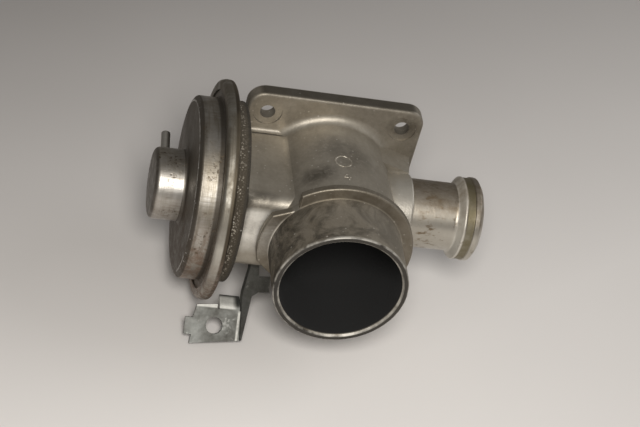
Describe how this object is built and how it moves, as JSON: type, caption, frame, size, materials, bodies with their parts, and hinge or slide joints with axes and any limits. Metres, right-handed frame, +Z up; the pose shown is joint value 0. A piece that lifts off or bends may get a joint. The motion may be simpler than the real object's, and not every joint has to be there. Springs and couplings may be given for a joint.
{
  "type": "egr valve",
  "caption": "Vacuum-operated exhaust gas recirculation valve: cast air duct with manifold flange, hose stub, gas inlet pipe, diaphragm can and sheet bracket.",
  "frame": {"origin": "centre of the air duct on the manifold face", "axes": "+Y out of the manifold face, along the air duct towards the manifold; +X along the valve stem towards the exhaust gas inlet; +Z up"},
  "size_m": [0.1476, 0.1073, 0.1016],
  "materials": {
    "cast_aluminium": "sand-cast, soot-stained and dulled by use",
    "rubber_ring": "matt black",
    "pipe_steel": "satin, heat-stained",
    "seat_steel": "ground, sooty",
    "stem_steel": "ground",
    "bush_bronze": "turned bronze",
    "pressed_steel": "thin pressed sheet",
    "gasket_sheet": "fibre gasket sheet",
    "can_steel": "worn satin steel with pits and stains",
    "diaphragm_rubber": "fabric-backed rubber",
    "spring_steel": "oiled spring wire",
    "fastener_zinc": "zinc-plated",
    "bracket_zinc": "dark passivated sheet steel"
  },
  "bodies": {
    "housing": {"valve_body": "cast_aluminium", "manifold_gasket": "rubber_ring", "inlet_pipe": "pipe_steel", "valve_seat": "seat_steel", "guide_bush": "bush_bronze", "guide_shield": "pressed_steel", "stem_seal": "rubber_ring", "seal_retainer": "pressed_steel", "can_gasket": "gasket_sheet", "lower_shell": "can_steel", "can_screws": "fastener_zinc", "upper_shell": "can_steel", "crimp_ring": "can_steel", "diaphragm": "diaphragm_rubber", "return_spring": "spring_steel", "vacuum_nipple": "can_steel", "hose_bracket": "bracket_zinc", "bracket_washers": "fastener_zinc", "bracket_screws": "fastener_zinc"},
    "valve": {"poppet_disc": "seat_steel", "valve_stem": "stem_steel", "lower_plate": "pressed_steel", "upper_plate": "pressed_steel", "stem_washer": "fastener_zinc", "stem_nut": "fastener_zinc"}
  },
  "joints": [
    {"name": "valve_lift", "type": "slide", "parent": "housing", "child": "valve", "axis": [-1, 0, 0], "range_m": [0, 0.006], "stiffness_N_per_m": 1500, "springref_m": -0.01, "deforming": ["return_spring", "diaphragm"]}
  ]
}
